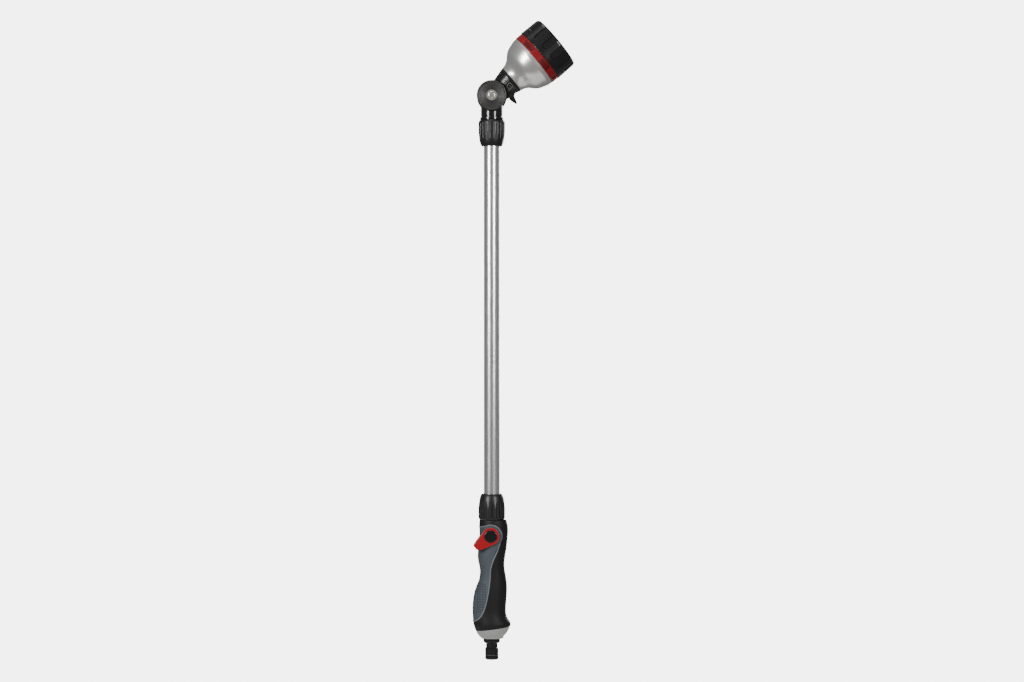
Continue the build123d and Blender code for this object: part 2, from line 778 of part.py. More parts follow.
nut_seat = well_floor + turning_gap + pivot_washer_thickness
with BuildPart() as pivot_screw:
    with BuildSketch(pivot_side.offset(washer_face)):
        Circle(pivot_screw_head_radius)
    extrude(amount=pivot_screw_head_height)
    head_rim = pivot_screw.faces().sort_by(Axis.Y)[0]
    fillet(head_rim.edges(), 1.2)
    with BuildSketch(pivot_side.offset(washer_face + pivot_screw_head_height)):
        Rectangle(4.2, 0.9)
        Rectangle(0.9, 4.2)
    extrude(amount=-1.2, taper=8, mode=Mode.SUBTRACT)
    with BuildSketch(pivot_side.offset(washer_face)):
        Circle(pivot_screw_radius)
    extrude(amount=-(washer_face + nut_seat + pivot_nut_height))
save(pivot_screw.part, "pivot_screw")

with BuildPart() as pivot_nut:
    with BuildSketch(pivot_side.offset(-nut_seat)):
        RegularPolygon(pivot_nut_radius, 6)
        Circle(pivot_screw_radius + fixed_gap, mode=Mode.SUBTRACT)
    extrude(amount=-pivot_nut_height)
save(pivot_nut.part, "pivot_nut")

# ---------------------------------------------------------------- head: neck


def on_head(section):
    """A solid of revolution about the head's axis from (radius, distance) points."""
    return turned(section, head_side, head_axis)


def head_polar(angle, height):
    """A plane square to the head's axis, with x turned by angle from the lean side towards +Y."""
    turned_x = (
        cos(radians(head_lean)) * cos(radians(angle)),
        sin(radians(angle)),
        -sin(radians(head_lean)) * cos(radians(angle)),
    )
    middle = head_end.from_local_coords((0, 0, height))
    return Plane(origin=middle, x_dir=turned_x, z_dir=head_direction)


def head_disc(inner, outer, low, high):
    """A ring or disc square to the head's axis."""
    return on_head([(inner, low), (outer, low), (outer, high), (inner, high)])


pin_x, pin_y = lock_pin_spot
toe_reach = drum_radius + lock_toe_gap + lock_toe_radius
toe_spot = (toe_reach * sin(radians(lock_toe_angle)), toe_reach * cos(radians(lock_toe_angle)))
lug_reach = 2.4
lug_front = lock_front + lug_reach
lug_back = lock_back - lug_reach


def lock_slot(reach):
    """The outline that the lock lever swings in."""
    toe_x, toe_y = toe_spot
    tip_x, tip_y = lock_tip_spot
    with BuildSketch() as drawn:
        with Locations(lock_pin_spot):
            Circle(lock_hub_radius + reach)
        with Locations(toe_spot, (toe_x + 2.2, toe_y), (tip_x + 6, tip_y + 6)):
            Circle(lock_toe_radius + 0.6 + reach)
        with Locations((tip_x + 6, tip_y - 4)):
            Circle(1 + reach)
        make_hull()
    return drawn.sketch


with BuildPart() as head_neck:
    add(
        on_head(
            [
                (0, 0),
                (neck_root_radius, 0),
                (neck_root_radius, neck_root),
                (neck_tip_radius, neck_flange_foot - 0.6),
                (neck_flange_radius - 0.5, neck_flange_foot),
                (neck_flange_radius, neck_flange_foot + 0.5),
                (neck_flange_radius, bell_foot),
                (neck_thread_radius, bell_foot),
                (neck_thread_radius, bell_foot + neck_thread_length),
                (0, bell_foot + neck_thread_length),
            ]
        )
    )
    with BuildSketch(head_side.offset(lug_back)):
        with Locations(lock_pin_spot):
            Circle(lock_hub_radius + 1.9)
        with Locations((pin_x - 7, pin_y)):
            Circle(lock_hub_radius + 1.9)
        with Locations((pin_x - 4, pin_y + 6)):
            Circle(lock_hub_radius + 1.9)
        make_hull()
    extrude(amount=lug_front - lug_back)
    add(pivot_drum(drum_clear_radius, -40, turning_gap / 2), mode=Mode.SUBTRACT)
    add(pivot_drum(drum_clear_radius, drum_reach, 40), mode=Mode.SUBTRACT)
    add(pivot_drum(drum_radius, turning_gap / 2, drum_reach))
    with BuildSketch(head_side.offset(lock_back - lock_slot_gap)):
        add(lock_slot(lock_slot_gap))
    extrude(amount=lock_front - lock_back + 2 * lock_slot_gap, mode=Mode.SUBTRACT)
    with BuildSketch(head_side.offset(lug_back - 1)):
        with Locations(lock_pin_spot):
            Circle(lock_pin_radius + fixed_gap)
    extrude(amount=lug_front - lug_back + 2, mode=Mode.SUBTRACT)
    # waterway: chamber round the post, port up the neck, bore into the bell
    add(pivot_drum(drum_chamber_radius, -1, drum_reach - drum_floor), mode=Mode.SUBTRACT)
    with BuildSketch(Plane(origin=(0, port_offset, pivot_height), z_dir=head_direction)):
        Circle(port_radius)
    extrude(amount=neck_flange_foot, mode=Mode.SUBTRACT)
    add(pivot_drum(drum_post_radius, turning_gap / 2, drum_reach))
    add(pivot_drum(screw_bore, -1, 40), mode=Mode.SUBTRACT)
    add(head_disc(0, neck_bore, neck_flange_foot - 1, bell_rim), mode=Mode.SUBTRACT)
save(head_neck.part, "head_neck")

with BuildPart() as lock_lever:
    with BuildSketch(head_side.offset(lock_back)):
        with BuildSketch(head_side.offset(lock_back)):
            with Locations(lock_pin_spot):
                Circle(lock_hub_radius)
            with Locations(toe_spot):
                Circle(lock_toe_radius)
            make_hull()
        with BuildSketch(head_side.offset(lock_back)):
            with Locations((pin_x, pin_y)):
                Circle(lock_hub_radius)
            with Locations(lock_heel_spot):
                Circle(lock_heel_radius)
            with Locations(lock_tip_spot):
                Circle(lock_tip_radius)
            make_hull()
        with Locations(lock_pin_spot):
            Circle(lock_pin_radius + running_gap, mode=Mode.SUBTRACT)
    extrude(amount=lock_front - lock_back)
    with BuildSketch(head_side.offset(lock_back)):
        with Locations(lock_pin_spot):
            Circle(lock_coil_radius + 2 * lock_coil_wire)
    extrude(amount=lock_coil_length, mode=Mode.SUBTRACT)
save(lock_lever.part, "lock_lever")

coil_foot = head_side.offset(lock_back + 2 * lock_coil_wire)
coil_spot = coil_foot.from_local_coords((pin_x, pin_y, 0))
coil_plane = Plane(coil_spot, z_dir=(0, -1, 0))
coil_length = lock_coil_length - 4 * lock_coil_wire
lock_spring = coil(lock_coil_radius, lock_coil_wire, coil_length, 2, coil_plane)
save(lock_spring, "lock_spring")

with BuildPart() as lock_pin:
    with BuildSketch(head_side.offset(lug_back)):
        with Locations(lock_pin_spot):
            Circle(lock_pin_radius)
    extrude(amount=lug_front - lug_back)
save(lock_pin.part, "lock_pin")

# ---------------------------------------------------------------- head: bell and distributor

seat_radius = 30.2
seat_foot = bell_rim - distributor_drop - distributor_thickness
bell_floor = bell_foot + bell_wall

with BuildPart() as bell:
    with BuildSketch(head_side):
        with BuildLine():
            flare = Spline(
                (bell_foot_radius, bell_foot),
                *bell_curve,
                (bell_rim_radius, bell_rim),
                tangents=[(0.02, 1), (0.04, 1)],
            )
            Polyline(
                flare @ 1,
                (seat_radius, bell_rim),
                (seat_radius, seat_foot),
                (seat_radius - 3.4, seat_foot - 6),
            )
            inside = Spline(
                (seat_radius - 3.4, seat_foot - 6),
                (21.0, 43.4),
                (15.6, 35.4),
                (15.0, bell_floor),
                tangents=[(-0.45, -0.9), (0, -1)],
            )
            Polyline(
                inside @ 1,
                (neck_thread_radius + fixed_gap, bell_floor),
                (neck_thread_radius + fixed_gap, bell_foot),
                (bell_foot_radius, bell_foot),
            )
        make_face()
    revolve(axis=head_axis)
save(bell.part, "bell")

gasket_top = bell_floor + gasket_thickness
neck_end = bell_foot + neck_thread_length
save(head_disc(neck_thread_radius + fixed_gap, 14.8, bell_floor, gasket_top), "bell_gasket")

with BuildPart() as bell_nut:
    with BuildSketch(head_end.offset(gasket_top)):
        RegularPolygon(14.6, 6)
        Circle(neck_thread_radius + fixed_gap, mode=Mode.SUBTRACT)
    extrude(amount=neck_end - gasket_top)
save(bell_nut.part, "bell_nut")

seat_top = seat_foot + distributor_thickness
seal_foot = plate_back - outlet_seal_length
first_pattern = 90.0

with BuildPart() as distributor:
    add(head_disc(0, seat_radius - fixed_gap, seat_foot, seat_top))
    add(head_disc(0, distributor_hub_radius, seat_top - 1, plate_back - turning_gap))
    with BuildSketch(head_end.offset(seat_top - 1)):
        with PolarLocations(pattern_radius, 1, first_pattern):
            Circle(outlet_boss_radius)
        with PolarLocations(detent_radius, 1, first_pattern + 180):
            Circle(detent_ball_radius + 1.2)
    extrude(amount=seal_foot - seat_top + 1)
    with BuildSketch(head_end.offset(seat_foot - 1)):
        with PolarLocations(pattern_radius, 1, first_pattern):
            Circle(outlet_radius)
    extrude(amount=seal_foot - seat_foot + 2, mode=Mode.SUBTRACT)
    with BuildSketch(head_end.offset(seat_top)):
        with PolarLocations(detent_radius, 1, first_pattern + 180):
            Circle(detent_ball_radius + running_gap)
    extrude(amount=seal_foot - seat_top + 1, mode=Mode.SUBTRACT)
    add(head_disc(0, dial_screw_radius + running_gap, seat_foot + 2, plate_back), mode=Mode.SUBTRACT)
save(distributor.part, "distributor")

with BuildPart() as outlet_seal:
    with BuildSketch(head_end.offset(seal_foot)):
        with PolarLocations(pattern_radius, 1, first_pattern):
            Circle(outlet_boss_radius)
            Circle(outlet_radius, mode=Mode.SUBTRACT)
    extrude(amount=outlet_seal_length - turning_gap)
save(outlet_seal.part, "outlet_seal")

ball_centre = head_end.offset(plate_back - turning_gap - detent_ball_radius)
ball_spot = ball_centre.from_local_coords((0, -detent_radius, 0))
with BuildPart(Plane(ball_spot)) as detent_ball:
    Sphere(detent_ball_radius)
save(detent_ball.part, "detent_ball")

coil_foot = head_end.offset(seat_top + spring_wire).from_local_coords((0, -detent_radius, 0))
coil_top = plate_back - turning_gap - 2 * detent_ball_radius
detent_coil = coil(
    detent_ball_radius - spring_wire,
    spring_wire,
    coil_top - seat_top - 2 * spring_wire,
    9,
    Plane(origin=coil_foot, x_dir=across_direction, z_dir=head_direction),
)
save(detent_coil, "detent_spring")

# ---------------------------------------------------------------- head: dial

sleeve_radius = ring_radius - ring_wall - fixed_gap
sleeve_foot = bell_rim + 1.3
ring_foot = bell_rim + turning_gap
face_radius = dial_radius - dial_wall - fixed_gap

with BuildPart() as index_ring:
    add(head_disc(ring_radius - ring_wall, ring_radius, ring_foot, dial_foot))
    rims = index_ring.edges().filter_by(GeomType.CIRCLE)
    fillet(rims.filter_by(lambda e: abs(e.radius - ring_radius) < 0.01), 0.4)
save(index_ring.part, "index_ring")

with BuildPart() as dial:
    add(
        on_head(
            [
                (sleeve_radius - 1.8, sleeve_foot),
                (sleeve_radius, sleeve_foot),
                (sleeve_radius, dial_foot + fixed_gap),
                (dial_radius, dial_foot + fixed_gap),
                (dial_radius - 0.6, dial_front),
                (face_radius + fixed_gap, dial_front),
                (face_radius + fixed_gap, face_front - face_thickness - fixed_gap),
                (face_radius - 1.6, face_front - face_thickness - fixed_gap),
                (face_radius - 1.6, dial_foot + 2.4),
                (sleeve_radius - 1.8, dial_foot + 2.4),
            ]
        )
    )
    rims = dial.edges().filter_by(GeomType.CIRCLE)
    fillet(rims.filter_by(lambda e: abs(e.radius - dial_radius + 0.6) < 0.01), dial_corner)
    fillet(rims.filter_by(lambda e: abs(e.radius - dial_radius) < 0.01), 0.5)
    # shallow flutes, round at the end next to the ring, that open at the front
    for number in range(dial_flutes):
        across = head_polar(dial_flute_turn + number * 360 / dial_flutes, dial_front)
        foot = across.from_local_coords((dial_radius - dial_flute_depth, 0, 0))
        with BuildSketch(Plane(origin=foot, x_dir=across.z_dir, z_dir=across.x_dir)):
            SlotOverall(2 * dial_flute_length, dial_flute_width)
        extrude(amount=3, taper=-30, mode=Mode.SUBTRACT)
save(dial.part, "dial")

# ---------------------------------------------------------------- head: face and patterns

pattern_step = 360 / pattern_count
chamber_wall = 1.6
plate_radius = face_radius - 1.6 - fixed_gap


def hole_rings(*rings):
    """Places for holes: each ring is (count, radius)."""
    places = []
    for count, radius in rings:
        for number in range(count):
            angle = radians(number * 360 / count + 15)
            places.append((radius * cos(angle), radius * sin(angle)))
    return places


# Hole radius and places of each pattern, from the middle of its pad
patterns = [
    (1.9, [(0, 0)]),
    (0.45, hole_rings((6, 1.8), (12, 3.9))),
    (0.8, hole_rings((5, 3.2))),
    (0.6, [(0, y) for y in (-4, -2.4, -0.8, 0.8, 2.4, 4)]),
    (0.35, hole_rings((1, 0), (7, 2.2), (14, 4.2))),
    (1.1, hole_rings((3, 2.4))),
    (0.7, [(x, 0) for x in (-3.6, -1.2, 1.2, 3.6)]),
]

with BuildPart() as spray_face:
    add(head_disc(0, face_radius, face_front - face_thickness, face_front))
    with BuildSketch(head_end.offset(face_front)):
        with PolarLocations(pattern_radius, pattern_count, first_pattern):
            Circle(pattern_pad_radius)
    extrude(amount=pattern_pad_height)
    pads = spray_face.faces().filter_by(lambda f: abs(f.area - 3.1416 * pattern_pad_radius**2) < 0.1)
    fillet(pads.edges(), 0.4)
    for number, (hole_radius, places) in enumerate(patterns):
        pad = head_polar(first_pattern + number * pattern_step, face_front + 2)
        pad.origin = pad.from_local_coords((pattern_radius, 0, 0))
        with BuildSketch(pad):
            with Locations(*places):
                Circle(hole_radius)
        extrude(amount=-(face_thickness + 4), mode=Mode.SUBTRACT)
    add(head_disc(0, dial_screw_head_radius + turning_gap, face_front - 1.2, face_front + 5), mode=Mode.SUBTRACT)
    add(head_disc(0, dial_screw_radius + fixed_gap, 0, face_front + 5), mode=Mode.SUBTRACT)
save(spray_face.part, "spray_face")

# The pattern plate turns with the face; each of its chambers feeds one pattern.
with BuildPart() as pattern_plate:
    add(head_disc(0, plate_radius, plate_back, plate_back + plate_thickness))
    chamber_top = face_front - face_thickness - fixed_gap
    add(head_disc(plate_radius - chamber_wall, plate_radius, plate_back + 1, chamber_top))
    add(head_disc(0, distributor_hub_radius, plate_back + 1, chamber_top))
    for number in range(pattern_count):
        wall_plane = head_polar(first_pattern + (number + 0.5) * pattern_step, plate_back + 1)
        middle = (distributor_hub_radius + plate_radius - chamber_wall) / 2
        with BuildSketch(wall_plane):
            with Locations((middle, 0)):
                Rectangle(plate_radius - distributor_hub_radius, chamber_wall)
        extrude(amount=chamber_top - plate_back - 1)
    with BuildSketch(head_end.offset(plate_back - 1)):
        with PolarLocations(pattern_radius, pattern_count, first_pattern):
            Circle(outlet_radius - 1)
    extrude(amount=plate_thickness + 2, mode=Mode.SUBTRACT)
    with BuildSketch(head_end.offset(plate_back)):
        with PolarLocations(detent_radius, pattern_count, first_pattern + 180):
            Circle(detent_ball_radius * 0.6)
    extrude(amount=0.6, mode=Mode.SUBTRACT)
    add(head_disc(0, dial_screw_radius + fixed_gap, 0, face_front), mode=Mode.SUBTRACT)
save(pattern_plate.part, "pattern_plate")

# The screw turns in the fixed distributor and clamps the plate to the face.
screw_seat = face_front - 1.2 + fixed_gap
screw_end = seat_foot + 2 + turning_gap
with BuildPart() as dial_screw:
    add(head_disc(0, dial_screw_head_radius, screw_seat, screw_seat + dial_screw_head_height))
    with BuildSketch(head_end.offset(screw_seat + dial_screw_head_height)):
        Rectangle(5.4, 1.2)
        Rectangle(1.2, 5.4)
    extrude(amount=-1.3, taper=8, mode=Mode.SUBTRACT)
    add(head_disc(0, dial_screw_radius, screw_end, screw_seat + 0.1))
save(dial_screw.part, "dial_screw")
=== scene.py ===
import json
from math import cos, pi, radians, sin

import bmesh
import bpy
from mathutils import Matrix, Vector
from mathutils.bvhtree import BVHTree


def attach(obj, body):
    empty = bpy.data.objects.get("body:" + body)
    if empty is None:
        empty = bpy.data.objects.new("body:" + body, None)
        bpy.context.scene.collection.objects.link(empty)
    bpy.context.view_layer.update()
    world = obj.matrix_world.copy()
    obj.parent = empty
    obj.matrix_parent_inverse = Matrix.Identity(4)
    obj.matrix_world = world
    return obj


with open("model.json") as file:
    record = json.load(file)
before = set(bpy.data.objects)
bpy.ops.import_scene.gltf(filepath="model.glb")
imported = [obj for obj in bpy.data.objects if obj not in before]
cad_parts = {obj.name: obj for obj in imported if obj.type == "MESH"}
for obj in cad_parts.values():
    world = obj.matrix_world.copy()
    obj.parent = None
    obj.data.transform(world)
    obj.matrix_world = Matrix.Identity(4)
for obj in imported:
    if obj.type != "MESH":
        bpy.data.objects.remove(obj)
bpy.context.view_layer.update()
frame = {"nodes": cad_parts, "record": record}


# ---------------------------------------------------------------- places read from the frame, in metres

JOINTS = {joint["name"]: joint for joint in frame["record"]["behaviour"]["joints"]}
PIVOT = Vector(JOINTS["head_tilt"]["pos_m"])
HUB = Vector(JOINTS["valve_turn"]["pos_m"])
HEAD = Vector(JOINTS["dial_turn"]["axis"]).normalized()
SIDE = Vector((0, 1, 0))
ACROSS = SIDE.cross(HEAD).normalized()


# ---------------------------------------------------------------- steps of a material's node tree

SHADER = "Principled BSDF"


def noise(tree, scale, detail, stretch=(1, 1, 1)):
    """Noise in object coordinates, which are metres in the model's frame."""
    place = tree.nodes.new("ShaderNodeTexCoord")
    mapping = tree.nodes.new("ShaderNodeMapping")
    mapping.inputs["Scale"].default_value = stretch
    texture = tree.nodes.new("ShaderNodeTexNoise")
    texture.inputs["Scale"].default_value = scale
    texture.inputs["Detail"].default_value = detail
    tree.links.new(place.outputs["Object"], mapping.inputs["Vector"])
    tree.links.new(mapping.outputs["Vector"], texture.inputs["Vector"])
    return texture.outputs["Fac"]


def between(tree, source, low, high, out_low, out_high):
    """A value spread from one span over another."""
    spread = tree.nodes.new("ShaderNodeMapRange")
    for key, value in (("From Min", low), ("From Max", high), ("To Min", out_low), ("To Max", out_high)):
        spread.inputs[key].default_value = value
    tree.links.new(source, spread.inputs["Value"])
    return spread.outputs["Result"]


def tint(tree, amount, first, second):
    """A colour between two colours, each a socket or an (r, g, b)."""
    mix = tree.nodes.new("ShaderNodeMix")
    mix.data_type = "RGBA"
    for key, colour in (("A", first), ("B", second)):
        if isinstance(colour, tuple):
            mix.inputs[key].default_value = (*colour, 1)
        else:
            tree.links.new(colour, mix.inputs[key])
    tree.links.new(amount, mix.inputs["Factor"])
    return mix.outputs["Result"]


def calc(tree, operation, first, second=None):
    """One step of arithmetic between sockets and numbers."""
    step = tree.nodes.new("ShaderNodeMath")
    step.operation = operation
    for place, value in enumerate((first, second)):
        if isinstance(value, (int, float)):
            step.inputs[place].default_value = value
        elif value is not None:
            tree.links.new(value, step.inputs[place])
    return step.outputs["Value"]


def place_of(tree):
    """The x and z of a shaded point, in the model's frame."""
    place = tree.nodes.new("ShaderNodeTexCoord")
    split = tree.nodes.new("ShaderNodeSeparateXYZ")
    tree.links.new(place.outputs["Object"], split.inputs["Vector"])
    return split.outputs["X"], split.outputs["Z"]


def wave(tree, value, length):
    """The sine of a distance, with a full wave in each length."""
    return calc(tree, "SINE", calc(tree, "MULTIPLY", value, 2 * pi / length))


def add_bump(tree, height, strength, depth):
    """Raises a finish by a height, on top of any bump that it has."""
    normal = tree.nodes[SHADER].inputs["Normal"]
    bump = tree.nodes.new("ShaderNodeBump")
    bump.inputs["Strength"].default_value = strength
    bump.inputs["Distance"].default_value = depth
    tree.links.new(height, bump.inputs["Height"])
    if normal.is_linked:
        tree.links.new(normal.links[0].from_socket, bump.inputs["Normal"])
    tree.links.new(bump.outputs["Normal"], normal)


def add_ink(tree, amount, ink):
    """Lays a colour over a finish's own."""
    base = tree.nodes[SHADER].inputs["Base Color"]
    tree.links.new(tint(tree, amount, base.links[0].from_socket, ink), base)


# ---------------------------------------------------------------- materials

PATCH_DETAIL, GRAIN_DETAIL = 3, 5
GRAIN_LOW, GRAIN_HIGH = 0.3, 0.7
GRAIN_STRENGTH = 0.5
COAT_ROUGHNESS = 0.12


def surface(name, colour, roughness, spread=0.12, grain=900, depth=0.00003, metallic=0.0, coat=0.0,
            shift=0.12, stretch=(1, 1, 1), specular=0.5, patch=40):
    """A finish with slow colour change, uneven gloss and a fine surface grain."""
    made = bpy.data.materials.new(name)
    made.use_nodes = True
    tree = made.node_tree
    shader = tree.nodes[SHADER]
    dark = tuple(c * (1 - shift) for c in colour)
    light = tuple(min(1, c * (1 + shift)) for c in colour)
    patches = noise(tree, patch, PATCH_DETAIL)
    tree.links.new(tint(tree, patches, dark, light), shader.inputs["Base Color"])
    fine = noise(tree, grain, GRAIN_DETAIL, stretch)
    gloss = between(tree, fine, GRAIN_LOW, GRAIN_HIGH, roughness - spread / 2, roughness + spread / 2)
    tree.links.new(gloss, shader.inputs["Roughness"])
    shader.inputs["Metallic"].default_value = metallic
    shader.inputs["Specular IOR Level"].default_value = specular
    if coat:
        shader.inputs["Coat Weight"].default_value = coat
        shader.inputs["Coat Roughness"].default_value = COAT_ROUGHNESS
    add_bump(tree, fine, GRAIN_STRENGTH, depth)
    return made


FINISHES = {
    "black_plastic": dict(colour=(0.0045, 0.0045, 0.0048), roughness=0.27, depth=0.000008, specular=0.32),
    "nut_black": dict(colour=(0.0055, 0.0055, 0.0058), roughness=0.37, spread=0.05, depth=0.000003,
                      specular=0.30),
    "gloss_black": dict(colour=(0.0035, 0.0035, 0.004), roughness=0.17, spread=0.08, depth=0.00001),
    "satin_black": dict(colour=(0.011, 0.0105, 0.0095), roughness=0.36, spread=0.10, grain=1500,
                        depth=0.00002, shift=0.3, patch=180),
    "grip_rubber": dict(colour=(0.0045, 0.0045, 0.0048), roughness=0.55, depth=0.00005, specular=0.16),
    "grey_rubber": dict(colour=(0.036, 0.043, 0.050), roughness=0.60, depth=0.00005, specular=0.2),
    # The bead's lighter grey is a painted highlight along its raised ridge.
    "painted_highlight_bead": dict(colour=(0.085, 0.095, 0.105), roughness=0.50, specular=0.3),
    "silver_paint": dict(colour=(0.48, 0.475, 0.46), roughness=0.29, spread=0.05, grain=4000,
                         depth=0.000006, metallic=0.85, coat=0.3, shift=0.05),
    "grey_plastic": dict(colour=(0.19, 0.19, 0.18), roughness=0.38, spread=0.06, grain=3000,
                         depth=0.00001, metallic=0.3, coat=0.1, shift=0.05),
    "red_plastic": dict(colour=(0.20, 0.003, 0.006), roughness=0.28, spread=0.08, depth=0.00001, coat=0.1,
                        specular=0.35),
    "ring_red": dict(colour=(0.13, 0.002, 0.004), roughness=0.30, spread=0.08, depth=0.00001, specular=0.3),
    "aluminium": dict(colour=(0.66, 0.66, 0.655), roughness=0.25, spread=0.10, grain=1400, depth=0.000006,
                      metallic=1.0, stretch=(1, 1, 0.02), shift=0.04),
    "white_plastic": dict(colour=(0.70, 0.70, 0.66), roughness=0.42),
    "seal_rubber": dict(colour=(0.006, 0.006, 0.006), roughness=0.5),
    "steel": dict(colour=(0.55, 0.55, 0.54), roughness=0.30, metallic=1.0, grain=2500, depth=0.000008),
    "nickel": dict(colour=(0.80, 0.77, 0.70), roughness=0.20, metallic=1.0, grain=2500, depth=0.000006),
    "mark_ink": dict(colour=(0.006, 0.0005, 0.0008), roughness=0.5, spread=0.05, specular=0.12),
    "sign_grey": dict(colour=(0.06, 0.06, 0.06), roughness=0.4, spread=0.05),
    "floor": dict(colour=(0.86, 0.86, 0.85), roughness=0.85, depth=0.00002, shift=0.01),
}
MATERIALS = {name: surface(name, **finish) for name, finish in FINISHES.items()}

# The pivot caps' faces are turned: fine rings round the pivot as a bump, and painted shade that darkens the
# middle round the screw.
TURNED_PITCH, TURNED_DEPTH, TURNED_STRENGTH = 0.0011, 0.00005, 0.8
# Painted shade round the screw: full near the centre, fading to nothing at the fade times the reach.
PAINTED_SHADE_REACH, PAINTED_SHADE_FADE = 0.0086, 1.5
PAINTED_SHADE_SHARE, PAINTED_SHADE_COLOUR = 0.75, (0.004, 0.004, 0.004)


def add_turned_rings_and_painted_shade(tree, centre):
    """Turns fine rings round a centre, and paints shade over the middle."""
    offsets = [calc(tree, "SUBTRACT", at, middle) for at, middle in zip(place_of(tree), (centre.x, centre.z))]
    squares = [calc(tree, "MULTIPLY", offset, offset) for offset in offsets]
    reach = calc(tree, "SQRT", calc(tree, "ADD", *squares))
    add_bump(tree, wave(tree, reach, TURNED_PITCH), TURNED_STRENGTH, TURNED_DEPTH)
    # Painted shade: a darker colour laid over the middle of the face.
    add_ink(tree, between(tree, reach, PAINTED_SHADE_REACH, PAINTED_SHADE_REACH * PAINTED_SHADE_FADE, PAINTED_SHADE_SHARE, 0.0), PAINTED_SHADE_COLOUR)


add_turned_rings_and_painted_shade(MATERIALS["satin_black"].node_tree, PIVOT)

# The grip's grey panel has rows of small pips below the thumb lever, in a window given from the hub.
PIP_PITCH, PIP_DEPTH, PIP_STRENGTH = 0.0030, 0.0003, 0.9
PIP_SHARE, PIP_COLOUR = 0.8, (0.016, 0.019, 0.023)
PIPS_ACROSS, PIPS_UP = (-0.0159, -0.0059), (-0.0906, -0.0566)


def add_pips(tree, centre):
    """Raises rows of darker pips inside the window."""
    across, height = place_of(tree)
    grid = [wave(tree, value, 2 * PIP_PITCH) for value in (height, across)]
    pips = calc(tree, "ABSOLUTE", calc(tree, "MULTIPLY", *grid))
    for value, middle, (low, high) in ((height, centre.z, PIPS_UP), (across, centre.x, PIPS_ACROSS)):
        pips = calc(tree, "MULTIPLY", pips, calc(tree, "GREATER_THAN", value, middle + low))
        pips = calc(tree, "MULTIPLY", pips, calc(tree, "LESS_THAN", value, middle + high))
    add_bump(tree, pips, PIP_STRENGTH, PIP_DEPTH)
    add_ink(tree, calc(tree, "MULTIPLY", pips, PIP_SHARE), PIP_COLOUR)


add_pips(MATERIALS["grey_rubber"].node_tree, HUB)

# Most nodes take the finish of their material slot, and these take another.
OTHER_FINISH = {
    "elbow": "gloss_black", "lever_cap_front": "gloss_black", "lever_cap_back": "gloss_black",
    "lock_lever": "gloss_black", "lock_pin": "gloss_black",
    "lower_collar_nut": "nut_black", "upper_collar_nut": "nut_black",
    "pivot_cap_front": "satin_black", "pivot_cap_back": "satin_black",
    "pivot_screw": "nickel", "pivot_washer_front": "nickel", "dial_screw": "nickel",
    "index_ring": "ring_red",
}
for part in frame["record"]["subparts"]:
    finish = OTHER_FINISH.get(part["node"], part["material_slot"])
    mesh = frame["nodes"][part["node"]].data
    mesh.materials.clear()
    mesh.materials.append(MATERIALS[finish])


# ---------------------------------------------------------------- mesh helpers

def solid(name, bm, material, body, smooth=True):
    """Turns a bmesh into a piece that rides on a body."""
    mesh = bpy.data.meshes.new(name)
    bmesh.ops.recalc_face_normals(bm, faces=bm.faces)
    bm.to_mesh(mesh)
    bm.free()
    if smooth:
        mesh.shade_smooth()
    mesh.materials.append(MATERIALS[material])
    made = bpy.data.objects.new(name, mesh)
    bpy.context.scene.collection.objects.link(made)
    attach(made, body)


def surface_tree(*nodes):
    """A ray tree over the meshes of some CAD nodes."""
    points, faces = [], []
    for node in nodes:
        mesh = frame["nodes"][node].data
        start = len(points)
        points += [v.co.copy() for v in mesh.vertices]
        faces += [[start + i for i in face.vertices] for face in mesh.polygons]
    return BVHTree.FromPolygons(points, faces)


RAY_START = 0.06  # further out than the surfaces that the rays look for
OFF_AXIS = Vector((0.31, 0.17, 0.93))  # no bead runs along this direction


def tube_along(name, path, radius, material, body, closed, sides):
    """A round bead swept along points."""
    bm = bmesh.new()
    count = len(path)
    rings = []
    for i, point in enumerate(path):
        before = path[i - 1] if closed or i else path[i]
        after = path[(i + 1) % count] if closed or i < count - 1 else path[i]
        along = (after - before).normalized()
        out = along.cross(OFF_AXIS).normalized()
        up = along.cross(out)
        turns = [2 * pi * k / sides for k in range(sides)]
        rings.append([bm.verts.new(point + (out * cos(turn) + up * sin(turn)) * radius) for turn in turns])
    for i in range(count if closed else count - 1):
        first, second = rings[i], rings[(i + 1) % count]
        for k in range(sides):
            bm.faces.new((first[k], first[(k + 1) % sides], second[(k + 1) % sides], second[k]))
    solid(name, bm, material, body)


# ---------------------------------------------------------------- bead round the grip's grey panel

BEAD_RADIUS, BEAD_SINK, BEAD_SIDES = 0.00085, 0.0003, 10
BEAD_LEAST_Y = 0.0015  # nearer to the middle plane, the thumb side's link takes over
EDGE_STEPS, LINK_STEPS = 8, 12

# The edge in (x, z) from the hub: over the hub in an arc, then down the grip to the thumb side.
ARC = 0.0134
panel_edge = [(-0.0300, 0.0070), (-0.0180, 0.0096)]
panel_edge += [(ARC * cos(radians(a)), ARC * sin(radians(a))) for a in range(115, -31, -12)]
panel_edge += [(0.0079, -0.0180), (0.0026, -0.0302), (-0.0004, -0.0410), (-0.0009, -0.0522)]
panel_edge += [(-0.0034, -0.0702), (-0.0080, -0.0882), (-0.0150, -0.0992), (-0.0300, -0.1062)]


def catmull_rom(p, q, r, s, t):
    """The value at t on the curve from q to r, with p before them and s after."""
    bend = (2 * p - 5 * q + 4 * r - s) * t * t
    twist = (3 * q - p - 3 * r + s) * t**3
    return 0.5 * (2 * q + (r - p) * t + bend + twist)


def smooth_path(points, steps):
    """Points of a smooth curve through (x, z) pairs."""
    ends = [points[0], *points, points[-1]]
    made = []
    for four in zip(ends, ends[1:], ends[2:], ends[3:]):
        for k in range(steps):
            made.append(tuple(catmull_rom(*values, k / steps) for values in zip(*four)))
    made.append(points[-1])
    return made


grip_tree = surface_tree("grip_shell", "grip_inlay")


